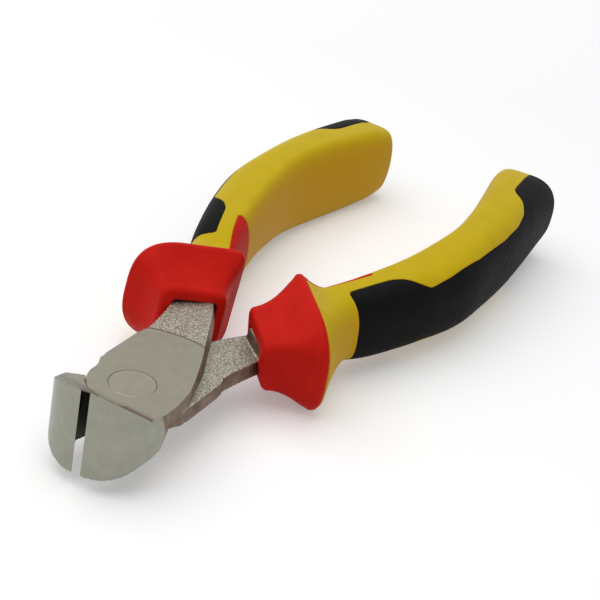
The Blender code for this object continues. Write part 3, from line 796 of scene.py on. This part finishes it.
places = (measured(upper_lever.data.vertices, "co") - MIDDLE) / MM
normals = measured(upper_lever.data.vertex_normals, "vector")
radius = np.hypot(places[:, 0], places[:, 1])
flat = np.abs(normals[:, 2]) > FACE_SLOPE
rough_face = flat & (radius > FACING_RADIUS + FACE_MARGIN)
rough_wall = ~flat & (places[:, 0] > JAW_ROOT_X)
rough = upper_lever.vertex_groups.new(name="rough_skin")
rough.add(np.nonzero(rough_face)[0].tolist(), 1.0, "REPLACE")
rough.add(np.nonzero(rough_wall)[0].tolist(), WALL_SHARE, "REPLACE")
pebbles = bpy.data.textures.new("pebbles", "CLOUDS")
pebbles.noise_scale = PEBBLE_SIZE * MM
pebbles.noise_depth = 1
apply_modifier(upper_lever, "DISPLACE", texture=pebbles, texture_coords="LOCAL", vertex_group="rough_skin",
               strength=PEBBLE_HEIGHT * MM, mid_level=0.5)
print("rough points:", int(rough_face.sum()), "on faces,", int(rough_wall.sum()), "on walls")

# %% [markdown]
# ## Tang and rivet
#
# The tang is a plain bar inside the handle. The rivet's heads are spread into countersinks and ground flush,
# so only a hairline shows on the face. Both levers get the same stepped hole.

# %% Tang
TANG_HALF_WIDTH, TANG_HALF_HEIGHT, TANG_END, TANG_STEPS = 1.5, 2.3, 98.0, 4
TANG_LEAD = [(28.0, 8.0), (33.0, 9.8)]
middle_line = [(x, (inner + outer) / 2) for x, inner, outer, _ in GRIP_STATIONS if x <= TANG_END]
tang_path = curve_through(TANG_LEAD + middle_line, TANG_STEPS)
tang_yaws = np.arctan2(*np.gradient(tang_path, axis=0).T[::-1])
bar = np.array([(1, 1), (-1, 1), (-1, -1), (1, -1)]) * (TANG_HALF_WIDTH, TANG_HALF_HEIGHT)
tang = rolled("tang", [closed(stand(bar.T, centre, yaw)) for centre, yaw in zip(tang_path, tang_yaws)])
combine(upper_lever, tang, "UNION")

# %% Rivet and its hole
RIVET_PROFILE = [(-2.55, 3.42), (-2.47, 3.5), (-2.0, 3.5), (-1.6, 2.6), (1.6, 2.6), (2.0, 3.5),
                 (2.47, 3.5), (2.55, 3.42)]
HOLE_PROFILE = [(-6.0, 2.64), (1.56, 2.64), (1.96, 3.53), (6.0, 3.53)]

def turned(name, profile):
    """A profile of (height, radius) turned about the pivot."""
    turn = np.linspace(0, 2 * math.pi, ROUND_VERTICES + 1)
    return rolled(name, [np.column_stack([r * np.cos(turn), r * np.sin(turn), np.full(len(turn), z)])
                         for z, r in profile])

combine(upper_lever, turned("hole", HOLE_PROFILE), "DIFFERENCE")
rivet = turned("rivet_body", RIVET_PROFILE)

# %% [markdown]
# ## Finishes
#
# Every finish below is worked out from a point's place on the piece, so it needs no picture. Noise of a few
# millimetres varies the colour, finer noise varies the gloss, and the finest one makes the grain that catches
# light. The upright sides of the yellow grips get painted shade: a yellow a shade browner than their tops.

# %% Helpers for finishes
def new_finish(name, **constants):
    """A Principled material with its constants set, and the object's coordinates."""
    finish = bpy.data.materials.new(name)
    finish.use_nodes = True
    tree = finish.node_tree
    shader = tree.nodes["Principled BSDF"]
    for socket, value in constants.items():
        shader.inputs[socket.replace("_", " ")].default_value = value
    return finish, tree, shader, add_node(tree, "TexCoord")

def noise(tree, where, size, detail=2.0, stretch=None):
    """Noise with features of a size in millimetres."""
    if stretch:
        where = add_node(tree, "Mapping", Vector=where, Scale=stretch).outputs[0]
    return add_node(tree, "TexNoise", Vector=where, Scale=1 / (size * MM), Detail=detail).outputs[0]

def ranged(tree, value, low, high, to_low=0.0, to_high=1.0):
    """A value moved from one range to another, and held inside it."""
    made = add_node(tree, "MapRange", Value=value, From_Min=low, From_Max=high, To_Min=to_low,
                    To_Max=to_high)
    return made.outputs[0]

def ranged_mm(tree, value, low, high, to_low=0.0, to_high=1.0):
    """The same for a length, with its range in millimetres."""
    return ranged(tree, value, low * MM, high * MM, to_low, to_high)

def times(tree, first, second):
    return calc(tree, "MULTIPLY", first, second)

def mixed(tree, share, first, second):
    """A colour between two colours, by the Mix node's colour sockets."""
    made = add_node(tree, "Mix", {"data_type": "RGBA"})
    for index, value in ((0, share), (6, first), (7, second)):
        feed(tree, made.inputs[index], (*value, 1) if isinstance(value, tuple) else value)
    return made.outputs[2]

def set_finish(tree, shader, colour, roughness, height, grain):
    """Link a colour, a roughness, and a height in millimetres as bump."""
    bump = add_node(tree, "Bump", Height=height, Distance=grain * MM, Strength=1.0).outputs[0]
    for name, value in (("Base Color", colour), ("Roughness", roughness), ("Normal", bump)):
        tree.links.new(value, shader.inputs[name])

# %% Moulded plastics and rubber
CLOUD_SIZE, CLOUD_RANGE, GLOSS_SIZE, GLOSS_RANGE = 5.0, (0.3, 0.7), 0.7, (0.3, 0.75)
# Upright faces of the yellow grips get painted shade, a browner yellow standing in for the shade on their
# sides.
UPRIGHT_TILT, UPRIGHT_SHARE = (0.25, 0.8), 0.9

def tilt(tree, place):
    """How far a face looks up or down: 1 on flat faces, 0 on upright ones."""
    facing = add_node(tree, "SeparateXYZ", Vector=place.outputs["Normal"]).outputs[2]
    return calc(tree, "ABSOLUTE", facing)

def moulding(name, deep, bright, gloss, specular, grain_size, grain, painted_side_shade=None):
    """A moulded finish: two close colours in soft clouds, uneven gloss and a fine grain."""
    finish, tree, shader, place = new_finish(name, Specular_IOR_Level=specular)
    where = place.outputs["Object"]
    clouds = ranged(tree, noise(tree, where, CLOUD_SIZE, detail=3.0), *CLOUD_RANGE)
    worn = ranged(tree, noise(tree, where, GLOSS_SIZE, detail=3.0), *GLOSS_RANGE, *gloss)
    colour = mixed(tree, clouds, deep, bright)
    if painted_side_shade:
        # Painted side shade: upright faces turn towards a browner colour.
        upright = ranged(tree, tilt(tree, place), *UPRIGHT_TILT, UPRIGHT_SHARE, 0)
        colour = mixed(tree, upright, colour, painted_side_shade)
    set_finish(tree, shader, colour, worn, noise(tree, where, grain_size), grain)
    return finish

red = moulding("red_moulding", deep=(0.54, 0.0105, 0.0058), bright=(0.63, 0.0155, 0.0085),
               gloss=(0.42, 0.56), specular=0.05, grain_size=0.16, grain=0.012)
# The browner yellow given for the grips' upright sides is painted shade.
yellow = moulding("yellow_moulding", deep=(0.575, 0.412, 0.005), bright=(0.615, 0.446, 0.006),
                  gloss=(0.44, 0.58), specular=0.08, grain_size=0.16, grain=0.012,
                  painted_side_shade=(0.66, 0.37, 0.006))
black = moulding("black_soft_grain", deep=(0.003, 0.0032, 0.0032), bright=(0.0055, 0.0057, 0.0057),
                 gloss=(0.55, 0.7), specular=0.05, grain_size=0.28, grain=0.03)

# %% [markdown]
# ## Steel
#
# One steel serves both levers. On the ground faces it is satin and greenish grey with faint brush marks. The
# rough skin has bright pebble tops and dark hollows, and its side walls keep a brown scale. The inner side of
# the cutting edges is painted almost black, as painted shade in the slit. A thin line of painted shade
# follows the edge of the ground face, and the jaw's slopes get painted shade with a reddish painted
# reflection. The places of these zones follow from the radius and the height, which half a turn leaves alike.

# %% Zones of the steel
FACE_BLUR, FACE_HEIGHTS, JAW_FADE, WALL_TILT = 0.06, (2.35, 2.47), (-3.4, -4.2), (0.45, 0.75)
HOLLOW_TIP, HOLLOW_SLOPE, HOLLOW_BLUR, HOLLOW_FADE = (-11.9, 0.7), 0.66, (0.04, -0.08), (-4.0, -5.0)
STEP_RADIUS, STEP_BAND, RAMP_FADE = FACING_RADIUS + 0.02, (0.3, 0.18), (-5.0, -6.4)

def steel_zones(tree, place):
    """Shares of the ground face, the jaw, the painted shade in its hollow, the walls, and the painted shade
    at the face's edge and on the jaw's slopes.
    """
    xyz = add_node(tree, "SeparateXYZ", Vector=place.outputs["Object"]).outputs
    x, side = xyz[0], calc(tree, "ABSOLUTE", xyz[1])
    height = calc(tree, "ABSOLUTE", calc(tree, "SUBTRACT", xyz[2], MIDDLE_Z))
    radius = calc(tree, "SQRT", calc(tree, "ADD", times(tree, x, x), times(tree, side, side)))
    inside = ranged_mm(tree, radius, FACING_RADIUS - FACE_BLUR, FACING_RADIUS + FACE_BLUR, 1, 0)
    at_face = ranged_mm(tree, height, *FACE_HEIGHTS)
    jaw_zone = ranged_mm(tree, x, *JAW_FADE)
    wall = ranged(tree, tilt(tree, place), *WALL_TILT, 1, 0)
    # Painted shade: the inner side of the cutting edges, down in the slit, is darkened almost to black.
    start = (HOLLOW_TIP[1] - HOLLOW_SLOPE * HOLLOW_TIP[0]) * MM
    behind = calc(tree, "MULTIPLY_ADD", x, -HOLLOW_SLOPE, calc(tree, "SUBTRACT", side, start))
    hollow = times(tree, ranged_mm(tree, behind, *HOLLOW_BLUR), ranged_mm(tree, x, *HOLLOW_FADE))
    # A thin band of painted shade along the edge of the ground face, where the forged skin steps up.
    from_step = calc(tree, "ABSOLUTE", calc(tree, "SUBTRACT", radius, STEP_RADIUS * MM))
    step = times(tree, ranged_mm(tree, from_step, *STEP_BAND), at_face)
    # Painted shade, tinted by a reddish painted reflection, on the jaw's sloping faces.
    slope_shade = times(tree, ranged_mm(tree, x, *RAMP_FADE), calc(tree, "SUBTRACT", 1, wall))
    return times(tree, inside, at_face), jaw_zone, times(tree, hollow, wall), wall, step, slope_shade

# %% Steel of the levers
MOTTLE_SIZE, MOTTLE_RANGE, GRAIN_SIZE, GRAIN_RANGE = 2.2, (0.3, 0.7), 0.25, (0.38, 0.62)
BRUSH_SIZE, BRUSH_STRETCH, BRUSH_RANGE, BRUSH_SHARE = 0.5, (1.0, 9.0, 0.35), (0.35, 0.7), 0.35
PLATE_TONES = (0.275, 0.262, 0.205), (0.315, 0.298, 0.232)
FRONT_TONES = (0.285, 0.290, 0.238), (0.325, 0.327, 0.267)
GRAIN_TONES = (0.18, 0.16, 0.122), (0.455, 0.44, 0.37)
SCALE_TONES = (0.115, 0.075, 0.05), (0.25, 0.19, 0.145)
# The step tone is painted shade: a thin dark line along the edge of the ground face.
BRUSH_TONE, STEP_SHADE_TONE = (0.20, 0.195, 0.16), (0.12, 0.098, 0.072)
# The slope tone is painted shade with a reddish painted reflection, and the hollow tone is near-black painted
# shade in the slit between the jaws.
SLOPE_SHADE_TONE, SLIT_SHADE_TONE, SLOPE_SHADE_SHARE = (0.13, 0.105, 0.088), (0.05, 0.047, 0.038), 0.75
FORGED_ROUGH, GROUND_ROUGH, ROUGH_SPREAD = 0.5, 0.34, 0.12
BRUSH_DEPTH, STEEL_BUMP = 0.08, 0.07

def ground_marks(tree, where):
    """Mottle and brush marks of ground steel."""
    mottle = ranged(tree, noise(tree, where, MOTTLE_SIZE, detail=4.0), *MOTTLE_RANGE)
    return mottle, noise(tree, where, BRUSH_SIZE, detail=3.0, stretch=BRUSH_STRETCH)

def forged_and_ground():
    """Steel of a lever, ground on its face and jaw and forged elsewhere."""
    finish, tree, shader, place = new_finish("forged_and_ground_steel", Metallic=1.0)
    where = place.outputs["Object"]
    face, jaw_zone, hollow, wall, step, slope_shade = steel_zones(tree, place)
    mottle, brush = ground_marks(tree, where)
    plate, front = mixed(tree, mottle, *PLATE_TONES), mixed(tree, mottle, *FRONT_TONES)
    ground = mixed(tree, times(tree, jaw_zone, wall), plate, front)
    ground = mixed(tree, ranged(tree, brush, *BRUSH_RANGE, 0.0, BRUSH_SHARE), ground, BRUSH_TONE)
    pebbled = mixed(tree, ranged(tree, noise(tree, where, GRAIN_SIZE), *GRAIN_RANGE), *GRAIN_TONES)
    forged = mixed(tree, wall, pebbled, mixed(tree, mottle, *SCALE_TONES))
    smooth = calc(tree, "MAXIMUM", face, jaw_zone)
    colour = mixed(tree, smooth, forged, ground)
    # Painted shade: a dark line along the ground face's edge.
    colour = mixed(tree, step, colour, STEP_SHADE_TONE)
    # Painted shade with a reddish painted reflection on the jaw's slopes.
    colour = mixed(tree, times(tree, slope_shade, SLOPE_SHADE_SHARE), colour, SLOPE_SHADE_TONE)
    # Painted shade, almost black, inside the slit between the jaws.
    colour = mixed(tree, hollow, colour, SLIT_SHADE_TONE)
    rough = ranged(tree, smooth, 0, 1, FORGED_ROUGH - ROUGH_SPREAD / 2, GROUND_ROUGH - ROUGH_SPREAD / 2)
    uneven = calc(tree, "MULTIPLY_ADD", brush, ROUGH_SPREAD, rough)
    unground = calc(tree, "SUBTRACT", 1, smooth)
    coarse = times(tree, noise(tree, where, GRAIN_SIZE, detail=3.0), unground)
    height = calc(tree, "MULTIPLY_ADD", brush, BRUSH_DEPTH, coarse)
    set_finish(tree, shader, colour, uneven, height, STEEL_BUMP)
    return finish

# %% Steel of the rivet
RIVET_TONES = (0.27, 0.258, 0.202), (0.31, 0.292, 0.228)
RIVET_MARKS, RIVET_ROUGH, RIVET_BUMP = (0.2, 0.8), (0.28, 0.4), 0.006

def ground_rivet():
    finish, tree, shader, place = new_finish("ground_rivet_steel", Metallic=1.0)
    mottle, brush = ground_marks(tree, place.outputs["Object"])
    rough = ranged(tree, brush, *RIVET_MARKS, *RIVET_ROUGH)
    set_finish(tree, shader, mixed(tree, mottle, *RIVET_TONES), rough, brush, RIVET_BUMP)
    return finish

steel, rivet_steel = forged_and_ground(), ground_rivet()
print("finishes:", [finish.name for finish in (red, yellow, black, steel, rivet_steel)])

# %% [markdown]
# ## Half-turn copies
#
# Half a turn about the long axis makes the lower lever and the right handle, from copies with meshes of their
# own. First each handle is twisted a little about the shank's line near the guard, and its sections lean. The
# two handles in the photograph aren't exact copies, so the left one is then raised behind its guard and sinks
# at its end, and the right one rises there. A Lattice modifier could bend them, but moving the points is
# plainer.

# %% Half-turn copies
DROOP, DROOP_FROM, DROOP_OVER = 0.75, 48.0, 64.0
LIFT, LIFT_FROM, LIFT_OVER, LIFT_TO, LIFT_FADE = 0.4, 34.0, 12.0, 72.0, 36.0
GUARD_TWIST, TWIST_FADE, CROWN, CROWN_FROM = math.radians(6.8), 12.0, 0.04, 36.0
LEANS = [(GUARD_FRONT, 0.167), (GUARD_RIM, 0.071), (40.0, 0.1), (56.0, 0.0)]
SMOOTH_ANGLE = math.radians(40)

def half_turn_copy(piece, name):
    """Copy a piece, turn the copy half a turn, and apply its place."""
    pick(piece)
    bpy.ops.object.duplicate()
    copy = bpy.context.object
    copy.name = name
    bpy.ops.transform.rotate(value=math.pi, orient_axis="X", center_override=MIDDLE)
    bpy.ops.object.transform_apply(location=True, rotation=True, scale=True)
    return copy

def twisted(piece):
    """Turn a handle's front about the shank's line, lean its sections, and raise its upper half."""
    places = (measured(piece.data.vertices, "co") - np.array(MIDDLE)) / MM
    ahead, side = heading(GUARD_YAW), heading(GUARD_YAW + math.pi / 2)
    along, across = places[:, :2] @ ahead, places[:, :2] @ side - sum(GUARD_RIM_SIZE[:2]) / 2
    height = places[:, 2].copy()
    hold = 1 - smooth_share((along - GUARD_BACK) / TWIST_FADE)
    cosine, sine = np.cos(GUARD_TWIST * hold), np.sin(GUARD_TWIST * hold)
    lean = np.interp(along, *zip(*LEANS))
    crown = 1 + CROWN * smooth_share((along - CROWN_FROM) / TWIST_FADE) * (height > 0)
    places[:, 2] = across * sine + height * cosine * crown
    places[:, :2] += np.outer(lean * height, ahead) + np.outer(across * (cosine - 1) - height * sine, side)
    set_points(piece, places * MM + np.array(MIDDLE))

def settled(piece, lift, sink):
    """Raise a piece behind the guard, and let it sink or rise at its end."""
    places = measured(piece.data.vertices, "co")
    x = places[:, 0] / MM
    rise = lift * smooth_share((x - LIFT_FROM) / LIFT_OVER) * (1 - smooth_share((x - LIFT_TO) / LIFT_FADE))
    fall = sink * smooth_share((x - DROOP_FROM) / DROOP_OVER)
    places[:, 2] += (rise - fall) * MM
    set_points(piece, places)

def finished(piece, finish):
    """Give a piece its finish and smooth shading."""
    piece.data.materials.clear()
    piece.data.materials.append(finish)
    pick(piece)
    bpy.ops.object.shade_smooth_by_angle(angle=SMOOTH_ANGLE)
    return piece

def installed(piece, body, node):
    """Let a piece ride on a body in place of a plain solid."""
    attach(piece, body)
    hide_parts(node)
    print(piece.name, "rides on", body, "in place of", node)

for piece, other, finish, slot in ((left_guard, "guard_sleeve", red, "red_plastic"),
                                   (left_grip, "grip", yellow, "yellow_plastic"),
                                   (left_inlay, "inlay", black, "black_rubber")):
    finished(piece, finish)
    twisted(piece)
    copy = half_turn_copy(piece, piece.name.replace("left", "right"))
    settled(piece, LIFT, DROOP)
    settled(copy, 0.0, -DROOP)
    installed(piece, "upper", "left_" + other)
    installed(copy, "lower", "right_" + other)

finished(upper_lever, steel)
lower_lever = half_turn_copy(upper_lever, "lower_lever_forging")
installed(upper_lever, "upper", "upper_lever")
installed(lower_lever, "lower", "lower_lever")
installed(finished(rivet, rivet_steel), "upper", "pivot_rivet")
